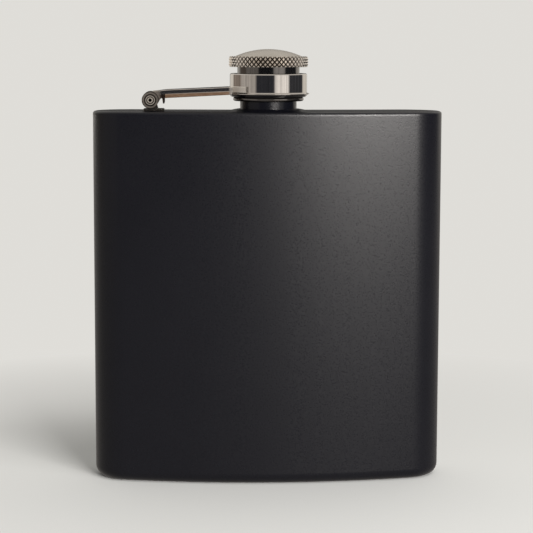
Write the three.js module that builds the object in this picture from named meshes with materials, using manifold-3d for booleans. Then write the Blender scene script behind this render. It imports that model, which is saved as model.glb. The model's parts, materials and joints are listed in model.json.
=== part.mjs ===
// A 6 oz hip flask with a captive screw cap, in millimetres, +Z up.
//
// The body is a welded steel can with a kidney-shaped plan: convex front (-Y), concave back and full-round
// ends. A threaded neck stands in its top. The knurled cap turns and slides in a collar at the end of an arm,
// and the arm is riveted to a bracket on the left of the top plate. The origin is on the floor, under the
// middle of the body.

import * as THREE from "three";
import { mergeVertices } from "three/addons/utils/BufferGeometryUtils.js";
import Module from "manifold-3d";

const wasm = await Module();
wasm.setup();

// ---- driving dimensions ----------------------------------------------------------------------------------

const BODY_WIDTH = 92;
const BODY_HEIGHT = 97.5;
const BODY_THICKNESS = 21.8; // front to back, on the centre line
const FRONT_RADIUS = 168; // plan radius of the convex front
const END_RADIUS = 10; // plan radius of the two round ends
const SHEET = 0.6; // wall of the can and of the arm
const FIT = 0.06; // gap between pieces that are pressed together
const WELD_GAP = 0.02; // and between the can's welded edges

const TOP_EDGE_RADIUS = 1.1;
const BOTTOM_EDGE_RADIUS = 2.9;
const BASE_RECESS = 1; // how far the bottom's middle panel is pressed up
const BASE_RIM = 2.6; // width of the flat ring the flask stands on

const NECK_RADIUS = 7.4; // plain part under the thread
const NECK_BORE = 5.6;
const NECK_HEIGHT = 9.8;
const THREAD_PITCH = 1.75;
const BOSS_RADIUS = 9.8; // the low cone pressed up round the neck
const BOSS_HEIGHT = 0.6;

const PIVOT_X = -30.8; // the arm's hinge, left of the neck
const PIVOT_Z = 2.9; // and above the top plate
const PIN_RADIUS = 0.62;
const PIN_BORE = 0.34;
const PIN_SOLID = 1.2; // the bores stop this far from the middle
const PIN_HEAD_RADIUS = 0.86;
const PIN_CLEARANCE = 0.1;
const WASHER_RADIUS = 1.46;
const WASHER_THICKNESS = 0.4;

const ARM_TILT = THREE.MathUtils.degToRad(2.53); // the closed arm rises towards the cap
const ARM_TOP = 2.5; // the arm's top face, from the pivot line
const ARM_BOTTOM = 0.36; // the lower edge of its side flanges
const EAR_RADIUS = 2.2;
const ARM_HALF_WIDTH = 4; // at the hinge
const ARM_FLARE = 5.05; // half width where the arm meets the collar

const COLLAR_RADIUS = 10.07;
const COLLAR_BORE = 9.45;
const COLLAR_BOTTOM = 3.75;
const COLLAR_TOP = 9.82;
const COLLAR_FLARE = 10.65; // radius of the thin rim round the collar's foot

const SLEEVE_RADIUS = 8.12; // the cap's threaded sleeve, which runs through the collar
const SLEEVE_BORE = 7.65;
const LIP_RADIUS = 9.22; // the sleeve's lower lip, which the collar's top can't pass
const LIP_BOTTOM = 2.65;
const HEAD_RADIUS = 10.38;
const HEAD_BOTTOM = 11.5;
const HEAD_TOP = 14.2;
const DOME_RADIUS = 8.67;
const DOME_TOP = 16.1;

const ROUND_STEPS = 40; // facets round a turned piece
const THREAD_STEPS = 16; // and along each turn of a thread
const FACE_STEPS = 12; // steps along the body's front and back
const END_STEPS = 16; // and round each of its ends

// ---- places worked out from them -------------------------------------------------------------------------

// Centres of the plan's arcs, from the front's middle point, before the plan is centred on the origin.
const END_X = BODY_WIDTH / 2 - END_RADIUS;
const END_DEPTH = FRONT_RADIUS - Math.sqrt((FRONT_RADIUS - END_RADIUS) ** 2 - END_X ** 2);
const BACK_GAP = BODY_THICKNESS - END_DEPTH;
const BACK_RADIUS = (END_X ** 2 + BACK_GAP ** 2 - END_RADIUS ** 2) / (2 * (END_RADIUS - BACK_GAP));

// The front stands at -DEPTH / 2 and the backs of the two ends at +DEPTH / 2.
const DEPTH = END_DEPTH + END_RADIUS;
const FRONT_Y = -DEPTH / 2;
const END_Y = FRONT_Y + END_DEPTH;
const NECK_Y = FRONT_Y + BODY_THICKNESS / 2;

const HEAD_RECESS = HEAD_BOTTOM + 0.4; // the sleeve's closed top sits this high in the head
const DOME_SEAT = HEAD_TOP - 0.55;

const origin = new THREE.Vector2(0, 0);

// ---- materials -------------------------------------------------------------------------------------------

const blackCoat = new THREE.MeshStandardMaterial({ color: 0x1e1e21, roughness: 0.5, metalness: 0 });
const polishedSteel = new THREE.MeshStandardMaterial({ color: 0xb9b3aa, roughness: 0.12, metalness: 1 });
const satinSteel = new THREE.MeshStandardMaterial({ color: 0xa9a196, roughness: 0.42, metalness: 1 });
const silicone = new THREE.MeshStandardMaterial({ color: 0xdedbd3, roughness: 0.6, metalness: 0 });

// ---- solids ----------------------------------------------------------------------------------------------

function solidFrom(geometry) {
  const bare = geometry.index ? geometry.toNonIndexed() : geometry.clone();
  bare.deleteAttribute("normal");
  bare.deleteAttribute("uv");
  const merged = mergeVertices(bare, 1e-4);
  const mesh = new wasm.Mesh({
    numProp: 3,
    vertProperties: new Float32Array(merged.attributes.position.array),
    triVerts: new Uint32Array(merged.index.array),
  });
  return new wasm.Manifold(mesh);
}

function geometryFrom(solid) {
  const { vertProperties, triVerts } = solid.getMesh();
  const geometry = new THREE.BufferGeometry();
  geometry.setAttribute("position", new THREE.BufferAttribute(vertProperties, 3));
  geometry.setIndex(new THREE.BufferAttribute(triVerts, 1));
  const faceted = geometry.toNonIndexed();
  faceted.computeVertexNormals();
  return faceted;
}

// A profile of [radius, height] pairs, anticlockwise and closed, turned about the Z axis.
function revolve(profile, steps = ROUND_STEPS) {
  const closed = [...profile, profile[0]].map(([r, z]) => new THREE.Vector2(r, z));
  return new THREE.LatheGeometry(closed, steps).rotateX(Math.PI / 2);
}

// The same about the hinge's axis: [radius, distance towards the back] pairs, centred on the pivot.
function revolveOnPin(profile, steps = 24) {
  return revolve(profile, steps).rotateX(-Math.PI / 2).translate(PIVOT_X, 0, PIVOT_Z);
}

function disc(radius, bottom, top, steps = ROUND_STEPS) {
  return revolve([[0, bottom], [radius, bottom], [radius, top], [0, top]], steps);
}

// A ring with a square section.
function ring(bore, radius, bottom, top) {
  return [[bore, bottom], [radius, bottom], [radius, top], [bore, top]];
}

// A shape drawn in plan, standing from bottom to top.
function standUp(shape, bottom, top) {
  return new THREE.ExtrudeGeometry(shape, {
    depth: top - bottom,
    bevelEnabled: false,
    curveSegments: 16,
  }).translate(0, 0, bottom);
}

// A shape drawn in the side view, X across and Z up, running from front to back.
function runBack(shape, front, back) {
  return new THREE.ExtrudeGeometry(shape, {
    depth: back - front,
    bevelEnabled: false,
    curveSegments: 16,
  }).rotateX(Math.PI / 2).translate(0, back, 0);
}

// Points round a circle, from one angle to another in degrees.
function arcPoints(radius, from, to, steps) {
  return Array.from({ length: steps + 1 }, (_, i) => {
    const angle = THREE.MathUtils.degToRad(from + ((to - from) * i) / steps);
    return [radius * Math.cos(angle), radius * Math.sin(angle)];
  });
}

function roundedRectangle(left, right, halfDepth, corner) {
  const shape = new THREE.Shape();
  shape.absarc(right - corner, -halfDepth + corner, corner, -Math.PI / 2, 0);
  shape.absarc(right - corner, halfDepth - corner, corner, 0, Math.PI / 2);
  shape.absarc(left + corner, halfDepth - corner, corner, Math.PI / 2, Math.PI);
  shape.absarc(left + corner, -halfDepth + corner, corner, Math.PI, 1.5 * Math.PI);
  return shape;
}

function polygon(points) {
  return new THREE.Shape(points.map(([x, y]) => new THREE.Vector2(x, y)));
}

// A closed skin through rings of points, each a copy of the same outline, with a flat cap at both ends.
function loft(rings, outline) {
  const count = outline.length;
  const last = (rings.length - 1) * count;
  const index = [];
  for (let level = 0; level < rings.length - 1; level++) {
    for (let i = 0; i < count; i++) {
      const a = level * count + i;
      const b = level * count + ((i + 1) % count);
      index.push(a, b, b + count, a, b + count, a + count);
    }
  }
  for (const [a, b, c] of THREE.ShapeUtils.triangulateShape(outline, [])) {
    index.push(a, c, b, last + a, last + b, last + c);
  }
  const geometry = new THREE.BufferGeometry();
  geometry.setAttribute("position", new THREE.Float32BufferAttribute(rings.flat(2), 3));
  geometry.setIndex(index);
  return geometry;
}

// A quarter circle of [inset, height] pairs that rounds an edge, from the wall to the flat.
function edgeRound(wallInset, flatHeight, radius, upwards, steps = 4) {
  return Array.from({ length: steps + 1 }, (_, i) => {
    const angle = (Math.PI / 2) * (i / steps);
    const drop = radius * (1 - Math.sin(angle));
    return [wallInset + radius * (1 - Math.cos(angle)), flatHeight + (upwards ? -drop : drop)];
  });
}

// ---- the can ---------------------------------------------------------------------------------------------

function arc(x, y, radius, from, to, steps) {
  return new THREE.EllipseCurve(x, y, radius, radius, from, to, to < from).getPoints(steps).slice(0, -1);
}

// The body's plan outline, anticlockwise, moved inwards by inset.
function bodyOutline(inset) {
  const frontAngle = Math.asin(END_X / (FRONT_RADIUS - END_RADIUS));
  const backAngle = Math.asin(END_X / (BACK_RADIUS + END_RADIUS));
  const front = FRONT_RADIUS - inset;
  const back = BACK_RADIUS + inset;
  const end = END_RADIUS - inset;
  const down = -Math.PI / 2;
  return [
    ...arc(0, FRONT_Y + FRONT_RADIUS, front, down - frontAngle, down + frontAngle, FACE_STEPS),
    ...arc(END_X, END_Y, end, down + frontAngle, backAngle - down, END_STEPS),
    ...arc(0, FRONT_Y + BODY_THICKNESS + BACK_RADIUS, back, down + backAngle, down - backAngle, FACE_STEPS),
    ...arc(-END_X, END_Y, end, -down - backAngle, -3 * down - frontAngle, END_STEPS),
  ];
}

// A solid through a stack of body outlines, each an [inset, height] pair.
function bodyLoft(levels) {
  const rings = levels.map(([inset, z]) => bodyOutline(inset).map((p) => [p.x, p.y, z]));
  return loft(rings, bodyOutline(0));
}

function bodySleeve() {
  const shape = new THREE.Shape(bodyOutline(0));
  shape.holes.push(new THREE.Path(bodyOutline(SHEET)));
  return standUp(shape, BOTTOM_EDGE_RADIUS + WELD_GAP, BODY_HEIGHT - TOP_EDGE_RADIUS - WELD_GAP);
}

// The stamped bottom: a round edge, a flat ring to stand on and a panel pressed up inside it.
function bottomPlate() {
  const panelInset = BOTTOM_EDGE_RADIUS + BASE_RIM;
  const under = [
    [panelInset + BASE_RECESS, BASE_RECESS],
    [panelInset, 0],
    ...edgeRound(0, 0, BOTTOM_EDGE_RADIUS, false).reverse(),
  ];
  const inside = [
    ...edgeRound(SHEET, SHEET, BOTTOM_EDGE_RADIUS - SHEET, false),
    [panelInset + SHEET / 2, SHEET],
    [panelInset + BASE_RECESS + SHEET / 2, BASE_RECESS + SHEET],
  ];
  return bodyLoft([...under, ...inside]);
}

// The stamped top: a round edge, and a low conical boss round the hole for the neck.
function topPlate() {
  const skin = bodyLoft([
    ...edgeRound(SHEET, BODY_HEIGHT - SHEET, TOP_EDGE_RADIUS - SHEET, true).reverse(),
    ...edgeRound(0, BODY_HEIGHT, TOP_EDGE_RADIUS, true),
  ]);
  const cone = (radius, bottom) =>
    revolve([
      [0, bottom - 0.3],
      [radius, bottom - 0.3],
      [radius, bottom],
      [radius - 2 * BOSS_HEIGHT, bottom + BOSS_HEIGHT],
      [0, bottom + BOSS_HEIGHT],
    ]).translate(0, NECK_Y, BODY_HEIGHT);
  const hole = disc(NECK_RADIUS + 0.06, -2, 2).translate(0, NECK_Y, BODY_HEIGHT);
  const raised = solidFrom(skin).add(solidFrom(cone(BOSS_RADIUS, 0)));
  const thin = raised.subtract(solidFrom(cone(BOSS_RADIUS - SHEET, -SHEET)));
  return geometryFrom(thin.subtract(solidFrom(hole)));
}

// ---- neck and threads, from here on about the neck's axis, with z = 0 on the top plate -------------------

// A helical ridge: base and crest are its radii, and its crest sinks back to the base at both ends.
function threadRidge({ base, crest, start, turns }) {
  const steps = Math.round(THREAD_STEPS * turns);
  const baseHalf = 0.52;
  const crestHalf = 0.2;
  const outline = [
    new THREE.Vector2(0, -baseHalf),
    new THREE.Vector2(1, -crestHalf),
    new THREE.Vector2(1, crestHalf),
    new THREE.Vector2(0, baseHalf),
  ];
  const rings = Array.from({ length: steps + 1 }, (_, i) => {
    const angle = (2 * Math.PI * turns * i) / steps;
    const fade = Math.min(1, (4 * i) / steps, (4 * (steps - i)) / steps);
    const height = (crest - base) * (0.4 + 0.6 * fade);
    return outline.map(({ x, y }) => {
      const r = base + height * x;
      const z = start + (THREAD_PITCH * angle) / (2 * Math.PI) + y;
      return [r * Math.cos(angle), r * Math.sin(angle), z];
    });
  });
  // Seen along the helix an outward ridge's outline runs clockwise, so its rings are taken in reverse.
  return loft(crest > base ? rings.reverse() : rings, outline);
}

function neck() {
  const root = NECK_RADIUS - 1.05;
  const tube = revolve([
    [NECK_BORE, -1.4],
    [NECK_RADIUS + 1.4, -1.4],
    [NECK_RADIUS + 1.4, -0.8],
    [NECK_RADIUS, -0.8],
    [NECK_RADIUS, 3.1],
    [root, 3.6],
    [root, NECK_HEIGHT - 0.5],
    [root - 0.3, NECK_HEIGHT],
    [NECK_BORE + 0.2, NECK_HEIGHT],
    [NECK_BORE, NECK_HEIGHT - 0.25],
  ]);
  const ridge = threadRidge({ base: root - 0.15, crest: root + 0.45, start: 4.5, turns: 2.25 });
  return geometryFrom(solidFrom(tube).add(solidFrom(ridge)));
}

// ---- the cap ---------------------------------------------------------------------------------------------

// A cup with an inside thread, closed at the top, with a lip round its mouth.
function capSleeve() {
  const top = HEAD_RECESS - FIT;
  const cup = revolve([
    [SLEEVE_BORE + 0.07, LIP_BOTTOM],
    [LIP_RADIUS, LIP_BOTTOM],
    [LIP_RADIUS, LIP_BOTTOM + 1],
    [SLEEVE_RADIUS, LIP_BOTTOM + 1],
    [SLEEVE_RADIUS, top],
    [0, top],
    [0, top - SHEET],
    [SLEEVE_BORE, top - SHEET],
    [SLEEVE_BORE, LIP_BOTTOM + 0.3],
  ]);
  const ridge = threadRidge({ base: SLEEVE_BORE + 0.15, crest: SLEEVE_BORE - 0.28, start: 4.6, turns: 2 });
  return geometryFrom(solidFrom(cup).add(solidFrom(ridge)));
}

// The knurled rim, with a shallow seat for the sleeve below and for the dome above.
function capHead() {
  const chamfer = 0.3;
  return revolve([
    [0, HEAD_RECESS],
    [SLEEVE_RADIUS + FIT, HEAD_RECESS],
    [SLEEVE_RADIUS + FIT, HEAD_BOTTOM],
    [HEAD_RADIUS - chamfer, HEAD_BOTTOM],
    [HEAD_RADIUS, HEAD_BOTTOM + chamfer],
    [HEAD_RADIUS, HEAD_TOP - chamfer],
    [HEAD_RADIUS - chamfer, HEAD_TOP],
    [DOME_RADIUS + FIT, HEAD_TOP],
    [DOME_RADIUS + FIT, DOME_SEAT - FIT],
    [0, DOME_SEAT - FIT],
  ]);
}

// The pressed cover on top of the head: a low sphere on a short rim.
function capDome() {
  const edge = HEAD_TOP + 0.05;
  const rise = DOME_TOP - edge;
  const sphere = (DOME_RADIUS ** 2 + rise ** 2) / (2 * rise);
  const span = Math.asin(DOME_RADIUS / sphere);
  const steps = 7;
  const crown = Array.from({ length: steps }, (_, i) => {
    const angle = span * (1 - i / steps);
    return [sphere * Math.sin(angle), DOME_TOP - sphere * (1 - Math.cos(angle))];
  });
  return revolve([[0, DOME_SEAT], [DOME_RADIUS, DOME_SEAT], ...crown, [0, DOME_TOP]]);
}

// The loose disc that the cap presses on the neck's mouth.
function capSeal() {
  return disc(SLEEVE_BORE - 0.45, NECK_HEIGHT + FIT, HEAD_RECESS - SHEET - 2 * FIT);
}

// ---- collar and arm --------------------------------------------------------------------------------------

// A drawn ring with a flared foot. Its top turns in round the cap's sleeve, over the sleeve's lip.
function collar() {
  return revolve([
    [COLLAR_BORE, COLLAR_BOTTOM],
    [COLLAR_BORE + 0.25, COLLAR_BOTTOM],
    [COLLAR_RADIUS + 0.25, COLLAR_BOTTOM + 0.65],
    [COLLAR_FLARE, COLLAR_BOTTOM + 0.7],
    [COLLAR_FLARE, COLLAR_BOTTOM + 0.95],
    [COLLAR_RADIUS, COLLAR_BOTTOM + 1.05],
    [COLLAR_RADIUS, COLLAR_TOP - 0.35],
    [COLLAR_RADIUS - 0.35, COLLAR_TOP],
    [SLEEVE_RADIUS + 0.18, COLLAR_TOP],
    [SLEEVE_RADIUS + 0.18, COLLAR_TOP - 0.5],
    [COLLAR_BORE, COLLAR_TOP - 0.5],
  ]);
}

// What the rivet's holes cut out of the ears.
function rivetHole() {
  const radius = PIN_RADIUS + PIN_CLEARANCE;
  const reach = 2 * ARM_HALF_WIDTH;
  return solidFrom(revolveOnPin([[0, -reach], [radius, -reach], [radius, reach], [0, reach]]));
}

// Points of the arm's side view, given as [along the arm, above the pivot line].
function onArm(points) {
  const turned = points.map(([along, up]) => new THREE.Vector2(along, up).rotateAround(origin, ARM_TILT));
  return new THREE.Shape(turned.map(({ x, y }) => new THREE.Vector2(PIVOT_X + x, PIVOT_Z + y)));
}

// The arm's plan, narrow at the hinge and wider at the collar, moved inwards by inset.
function armPlan(inset) {
  const flareStart = PIVOT_X + 4;
  const flareEnd = -9.1;
  const slope = (ARM_FLARE - ARM_HALF_WIDTH) / (flareEnd - flareStart);
  const halfWidth = (x) => ARM_HALF_WIDTH - inset + slope * Math.max(0, x - flareStart);
  const edge = [PIVOT_X - 5, flareStart, 0].map((x) => [x, halfWidth(x)]);
  return polygon([...edge.map(([x, y]) => [x, -y]), ...edge.reverse()]);
}

// One wing of the arm, bent round the collar's side: side is -1 in front and 1 behind.
function armWing(side) {
  const inner = COLLAR_RADIUS + FIT;
  const angles = [22, 33, 44, 55].map((degrees) => Math.PI + side * THREE.MathUtils.degToRad(-degrees));
  const bend = (radius) => angles.map((a) => [radius * Math.cos(a), radius * Math.sin(a)]);
  const outline = [...bend(inner), ...bend(inner + SHEET).reverse()];
  const bottom = COLLAR_BOTTOM + 1.18;
  return standUp(polygon(side < 0 ? outline.reverse() : outline), bottom, bottom + 1.55);
}

// A folded channel, open below: round ears on the rivet, a stop tab under each flange, and wings that hold
// the collar from both sides.
function arm() {
  const webStart = 0.75; // the top face stops short of the ears
  const fullHeight = 5; // and reaches its full height here
  const end = 23;
  const lowered = ARM_TOP - 0.24;
  const ear = arcPoints(EAR_RADIUS, 78, 310, 18);
  const side = onArm([
    [fullHeight, ARM_TOP],
    [webStart, lowered],
    [webStart, lowered - 0.5],
    [webStart - 0.3, lowered - 0.5],
    ...ear,
    [2.75, ARM_BOTTOM],
    [3.1, ARM_BOTTOM],
    [3.25, -1.05],
    [3.65, -1.0],
    [3.7, ARM_BOTTOM],
    [end, ARM_BOTTOM + 0.16],
    [end, ARM_TOP],
  ]);
  const hollow = onArm([
    [-5, -5],
    [end + 5, -5],
    [end + 5, ARM_TOP - SHEET],
    [fullHeight, ARM_TOP - SHEET],
    [webStart, lowered - SHEET],
    [webStart, 5],
    [-5, 5],
  ]);
  const blank = solidFrom(runBack(side, -8, 8)).intersect(solidFrom(standUp(armPlan(0), -5, 15)));
  const inside = solidFrom(runBack(hollow, -8, 8)).intersect(solidFrom(standUp(armPlan(SHEET), -6, 16)));
  return geometryFrom(
    blank
      .subtract(inside)
      .subtract(rivetHole())
      .subtract(solidFrom(disc(COLLAR_RADIUS + FIT, -5, 15, 96)))
      .subtract(solidFrom(disc(COLLAR_FLARE + 2 * FIT, -5, COLLAR_BOTTOM + 1.12, 96)))
      .add(solidFrom(armWing(-1)))
      .add(solidFrom(armWing(1))),
  );
}

// ---- hinge -----------------------------------------------------------------------------------------------

const EAR_OUTSIDE = ARM_HALF_WIDTH - SHEET - 0.1; // half width over the bracket's ears

// A foot welded to the top plate, with two ears that stand inside the arm's.
function hingeBracket() {
  const footTop = 0.65;
  const earRadius = 1.5;
  const pedestalLeft = -0.62;
  const meets = THREE.MathUtils.radToDeg(Math.acos(pedestalLeft / earRadius));
  const foot = standUp(roundedRectangle(PIVOT_X - 1.8, PIVOT_X + 3.6, EAR_OUTSIDE, 0.8), 0.03, footTop);
  const side = polygon(
    [[pedestalLeft, 0.3 - PIVOT_Z], [2.1, 0.3 - PIVOT_Z], ...arcPoints(earRadius, -20, 360 - meets, 16)]
      .map(([x, z]) => [PIVOT_X + x, PIVOT_Z + z]),
  );
  const front = solidFrom(runBack(side, -EAR_OUTSIDE, -EAR_OUTSIDE + SHEET));
  const back = solidFrom(runBack(side, EAR_OUTSIDE - SHEET, EAR_OUTSIDE));
  return geometryFrom(solidFrom(foot).add(front).add(back).subtract(rivetHole()));
}

const HEAD_SEAT = ARM_HALF_WIDTH + 2 * FIT + WASHER_THICKNESS; // from the middle to under a rivet head

// A rivet with a rolled head and a short bore at both ends.
function hingePin() {
  const headThickness = 0.35;
  const end = HEAD_SEAT + FIT + headThickness;
  return revolveOnPin([
    [0, -PIN_SOLID],
    [PIN_BORE, -PIN_SOLID],
    [PIN_BORE, -end],
    [PIN_HEAD_RADIUS - 0.2, -end],
    [PIN_HEAD_RADIUS, -end + 0.2],
    [PIN_HEAD_RADIUS, -HEAD_SEAT - FIT],
    [PIN_RADIUS, -HEAD_SEAT - FIT],
    [PIN_RADIUS, HEAD_SEAT + FIT],
    [PIN_HEAD_RADIUS, HEAD_SEAT + FIT],
    [PIN_HEAD_RADIUS, end - 0.2],
    [PIN_HEAD_RADIUS - 0.2, end],
    [PIN_BORE, end],
    [PIN_BORE, PIN_SOLID],
    [0, PIN_SOLID],
  ]);
}

function hingeWasher(side) {
  const middle = side * (HEAD_SEAT - WASHER_THICKNESS / 2);
  const half = WASHER_THICKNESS / 2;
  return revolveOnPin(ring(PIN_RADIUS + FIT, WASHER_RADIUS, middle - half, middle + half));
}

// ---- assembly --------------------------------------------------------------------------------------------

function piece(name, geometry, material) {
  const mesh = new THREE.Mesh(geometry, material);
  mesh.name = name;
  return mesh;
}

const closure = new THREE.Group();
closure.position.set(0, NECK_Y, BODY_HEIGHT);
closure.add(
  piece("neck", neck(), blackCoat),
  piece("hinge_bracket", hingeBracket(), polishedSteel),
  piece("hinge_rivet", hingePin(), satinSteel),
  piece("hinge_washer_front", hingeWasher(-1), satinSteel),
  piece("hinge_washer_back", hingeWasher(1), satinSteel),
  piece("arm", arm(), polishedSteel),
  piece("collar", collar(), polishedSteel),
  piece("cap_sleeve", capSleeve(), polishedSteel),
  piece("cap_head", capHead(), satinSteel),
  piece("cap_dome", capDome(), satinSteel),
  piece("cap_seal", capSeal(), silicone),
);

const flask = new THREE.Group();
flask.add(
  piece("body_sleeve", bodySleeve(), blackCoat),
  piece("bottom_plate", bottomPlate(), blackCoat),
  piece("top_plate", topPlate(), blackCoat),
  closure,
);

export default flask;
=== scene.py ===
"""The look of the hip flask: a matt black can with a knurled cap that an arm holds captive.

Shapes are worked out in millimetres and built in metres. Two frames are used: the body's, which is the row
frame, and the closure's, whose Z axis is the neck's axis and whose z = 0 is the top plate.
"""

import json
import math

import bmesh
import bpy
import numpy as np
from mathutils import Matrix, Vector


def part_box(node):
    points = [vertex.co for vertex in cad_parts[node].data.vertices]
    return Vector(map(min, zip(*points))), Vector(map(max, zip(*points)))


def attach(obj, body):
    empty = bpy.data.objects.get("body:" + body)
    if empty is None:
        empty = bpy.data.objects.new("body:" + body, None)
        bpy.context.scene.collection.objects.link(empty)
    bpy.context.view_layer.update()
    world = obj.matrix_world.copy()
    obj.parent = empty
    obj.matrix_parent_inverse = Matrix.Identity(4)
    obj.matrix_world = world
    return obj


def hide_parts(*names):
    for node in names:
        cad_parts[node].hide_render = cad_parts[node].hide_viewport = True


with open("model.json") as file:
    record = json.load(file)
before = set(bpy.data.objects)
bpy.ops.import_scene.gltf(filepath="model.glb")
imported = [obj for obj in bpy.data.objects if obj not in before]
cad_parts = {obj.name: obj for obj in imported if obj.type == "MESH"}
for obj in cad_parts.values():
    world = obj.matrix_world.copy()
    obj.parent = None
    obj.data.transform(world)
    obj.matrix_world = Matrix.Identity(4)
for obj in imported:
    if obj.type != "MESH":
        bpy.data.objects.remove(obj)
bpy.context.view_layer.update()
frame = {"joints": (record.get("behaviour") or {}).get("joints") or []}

MM = 0.001
MICRON = 0.000001

# ---- driving dimensions, in millimetres ------------------

FRONT_RADIUS = 168  # plan radius of the convex front
END_RADIUS = 10  # and of the two round ends
BODY_THICKNESS = 21.8  # front to back, on the centre line
SHEET = 0.6
TOP_EDGE_RADIUS = 1.1
BOTTOM_EDGE_RADIUS = 2.9
BASE_RIM = 2.6
BASE_RECESS = 1.0
NECK_RADIUS = 7.4
NECK_BORE = 5.6
NECK_HEIGHT = 9.8
THREAD_PITCH = 1.75
SLEEVE_RADIUS = 8.12
SLEEVE_BORE = 7.65
FIT = 0.06  # gap between pieces that are pressed together

ARM_TILT = math.radians(2.53)
ARM_TOP = 2.5  # heights on the arm are from the pivot, square to the arm
ARM_BOTTOM = 0.36
EAR_RADIUS = 2.2
ARM_HALF_WIDTH = 4.0  # at the ears
ARM_FLARE = 5.05  # half the width at the collar
PIN_RADIUS = 0.62
PIN_HOLE = PIN_RADIUS + 0.1
PIN_BORE = 0.34
PIN_SOLID = 1.2  # the rivet's bores stop this far from its middle
PIN_HEAD_RADIUS = 0.86
WASHER_RADIUS = 1.46
WASHER_THICKNESS = 0.4

# ---- places, from the frame ------------------------------

JOINTS = {joint["name"]: joint for joint in frame["joints"]}
PIVOT = Vector(JOINTS["arm_swing"]["pos_m"]) / MM
NECK_AXIS = Vector(JOINTS["cap_turn"]["pos_m"]) / MM
BODY_WIDTH = (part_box("body_sleeve")[1].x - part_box("body_sleeve")[0].x) / MM
BODY_HEIGHT = round(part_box("body_sleeve")[1].z / MM + TOP_EDGE_RADIUS, 1)
PIVOT_X = PIVOT.x
PIVOT_Z = PIVOT.z - BODY_HEIGHT


def turned(node):
    """(outside radius, lowest, highest) of a turned CAD node, in the closure's frame."""
    low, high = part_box(node)
    return (high.x - low.x) / 2 / MM, low.z / MM - BODY_HEIGHT, high.z / MM - BODY_HEIGHT


COLLAR_FLARE, COLLAR_BOTTOM, COLLAR_TOP = turned("collar")
HEAD_RADIUS, HEAD_BOTTOM, HEAD_TOP = turned("cap_head")
DOME_RADIUS, DOME_SEAT, DOME_TOP = turned("cap_dome")
LIP_RADIUS, LIP_BOTTOM, SLEEVE_TOP = turned("cap_sleeve")
SEAL_RADIUS, SEAL_BOTTOM, SEAL_TOP = turned("cap_seal")
COLLAR_RADIUS = COLLAR_FLARE - 0.58  # its foot flares out this far
COLLAR_BORE = COLLAR_RADIUS - 0.62  # and its wall is this thick

# ---- mesh tools ------------------------------------------


def in_body_frame(points):
    return np.asarray(points, float) * MM


def in_closure_frame(points):
    return (np.asarray(points, float) + [NECK_AXIS.x, NECK_AXIS.y, BODY_HEIGHT]) * MM


def piece(name, parts, material, body, node, sharp=35.0):
    """Makes one object from (vertices in metres, faces) parts, which rides on body and stands for node."""
    bm = bmesh.new()
    for points, faces in parts:
        made = [bm.verts.new(p) for p in points]
        for face in faces:
            corners = [made[i] for i in dict.fromkeys(face)]
            if len(corners) > 2:
                bm.faces.new(corners)
    bmesh.ops.remove_doubles(bm, verts=bm.verts, dist=2e-7)
    bmesh.ops.dissolve_degenerate(bm, edges=bm.edges, dist=1e-7)
    bmesh.ops.recalc_face_normals(bm, faces=bm.faces)
    mesh = bpy.data.meshes.new(name)
    bm.to_mesh(mesh)
    bm.free()
    return dress(bpy.data.objects.new(name, mesh), material, body, node, sharp)


def dress(obj, material, body, node, sharp=35.0):
    """Links an object, shades it smooth between sharp edges and ties it to the frame."""
    if obj.name not in bpy.context.scene.collection.objects:
        bpy.context.scene.collection.objects.link(obj)
    obj.data.materials.clear()
    obj.data.materials.append(material)
    obj.data.polygons.foreach_set("use_smooth", [True] * len(obj.data.polygons))
    obj.data.set_sharp_from_angle(angle=math.radians(sharp))
    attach(obj, body)
    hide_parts(node)
    return obj


GUARD = 0.02  # a short edge beside each arc keeps the shading of the flats flat


def rounded(corners, steps=4):
    """A closed outline through [u, v, radius] corners, each turned on an arc of its radius."""
    arcs = sharp_arcs(corners, steps)
    points = []
    for i, arc in enumerate(arcs):
        before, after = arcs[i - 1][-1], arcs[(i + 1) % len(arcs)][0]
        turned_corner = len(arc) > 1
        into, out = arc[0] - before, after - arc[-1]
        if turned_corner and np.linalg.norm(into) > 4 * GUARD:
            points.append(arc[0] - into / np.linalg.norm(into) * GUARD)
        points += arc
        if turned_corner and np.linalg.norm(out) > 4 * GUARD:
            points.append(arc[-1] + out / np.linalg.norm(out) * GUARD)
    return np.array(points)


def sharp_arcs(corners, steps):
    """For each corner, the points of its arc, or the corner itself where it has no radius."""
    arcs = []
    flat = [np.array(c[:2], float) for c in corners]
    for i, corner in enumerate(corners):
        here, before, after = flat[i], flat[i - 1], flat[(i + 1) % len(flat)]
        radius = corner[2] if len(corner) > 2 else 0
        to_before = (before - here) / np.linalg.norm(before - here)
        to_after = (after - here) / np.linalg.norm(after - here)
        half = math.acos(np.clip(to_before @ to_after, -1, 1)) / 2
        if radius <= 0 or half > math.radians(89):
            arcs.append([here])
            continue
        bisector = (to_before + to_after) / np.linalg.norm(to_before + to_after)
        centre = here + bisector * radius / math.sin(half)
        start = here + to_before * radius / math.tan(half) - centre
        turn = math.pi - 2 * half
        if start[0] * (here - centre)[1] - start[1] * (here - centre)[0] < 0:
            turn = -turn
        arc = []
        for k in range(steps + 1):
            a = turn * k / steps
            spin = np.array([[math.cos(a), -math.sin(a)], [math.sin(a), math.cos(a)]])
            arc.append(centre + spin @ start)
        arcs.append(arc)
    return arcs


def ring_faces(rings, size, closed=True):
    """Quads from each ring of points to the next. The last joins the first, or else both ends get a face."""
    faces = []
    for r in range(rings if closed else rings - 1):
        for c in range(size):
            r2, c2 = (r + 1) % rings, (c + 1) % size
            faces.append((r * size + c, r * size + c2, r2 * size + c2, r2 * size + c))
    if not closed:
        last = (rings - 1) * size
        faces += [tuple(range(size)), tuple(range(last, last + size))]
    return faces


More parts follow.
